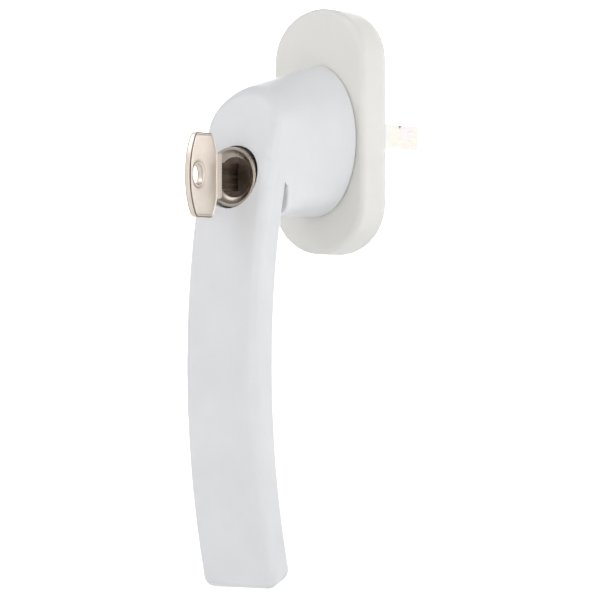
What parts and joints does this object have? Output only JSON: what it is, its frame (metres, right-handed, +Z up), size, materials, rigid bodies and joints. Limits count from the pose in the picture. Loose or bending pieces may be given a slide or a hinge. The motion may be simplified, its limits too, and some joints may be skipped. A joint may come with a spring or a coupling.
{
  "type": "window handle",
  "caption": "Lockable lever handle for a tilt-and-turn window, on an oval rosette, with a square spindle and a key in its lock.",
  "frame": {"origin": "on the spindle's axis, in the plane of the rosette's back face", "axes": "+Y along the spindle into the window frame, +Z up and away from the hanging lever, +X to the right seen from the room"},
  "size_m": [0.032, 0.1054, 0.1625],
  "materials": {
    "white_cover": "fine satin",
    "white_coat": "satin powder coat",
    "zinc_casting": "as cast",
    "bush_plastic": "natural acetal",
    "spring_steel": "blued",
    "steel": "machined",
    "zinc_plated_steel": "zinc plated, faint rainbow tint",
    "satin_nickel": "satin nickel",
    "black_rubber": "matt",
    "dark_brass": "darkened brass",
    "brass": "stamped",
    "key_nickel": "warm nickel plate"
  },
  "bodies": {
    "rosette": {"rosette_cap": "white_cover", "base_plate": "zinc_casting", "bearing_bush": "bush_plastic", "detent_spring_upper": "spring_steel", "detent_spring_lower": "spring_steel", "notch_ring": "steel"},
    "grip": {"grip": "white_coat", "spindle": "zinc_plated_steel", "spindle_pin": "steel", "retaining_ring": "spring_steel", "detent_cam": "steel", "thrust_washer": "steel", "bolt_guide": "steel", "guide_screws": "zinc_plated_steel", "lock_housing": "satin_nickel", "lock_gasket": "black_rubber", "housing_screw": "steel"},
    "lock_plug": {"lock_plug": "dark_brass", "wafer_1": "brass", "wafer_2": "brass", "wafer_3": "brass", "wafer_4": "brass", "wafer_5": "brass", "wafer_springs": "spring_steel", "plug_clip": "spring_steel", "drive_pin": "steel"},
    "lock_bolt": {"lock_bolt": "steel"},
    "key": {"key": "key_nickel"}
  },
  "joints": [
    {"name": "handle_turn", "type": "hinge", "parent": "rosette", "child": "grip", "pos_m": [0, 0, 0], "axis": [0, 1, 0], "continuous": true, "deforming": ["detent_spring_upper", "detent_spring_lower"]},
    {"name": "key_turn", "type": "hinge", "parent": "grip", "child": "lock_plug", "pos_m": [0, -0.0509, -0.0146], "axis": [0, -1, 0], "range_deg": [0, 90]},
    {"name": "bolt_slide", "type": "slide", "parent": "grip", "child": "lock_bolt", "axis": [0, 0, 1], "range_m": [0, 0.00257]},
    {"name": "key_slide", "type": "slide", "parent": "lock_plug", "child": "key", "axis": [0, -1, 0], "range_m": [0, 0.028]}
  ],
  "couplings": [
    {"joint": "bolt_slide", "follows": "key_turn", "m_per_rad": 0.0016206}
  ]
}
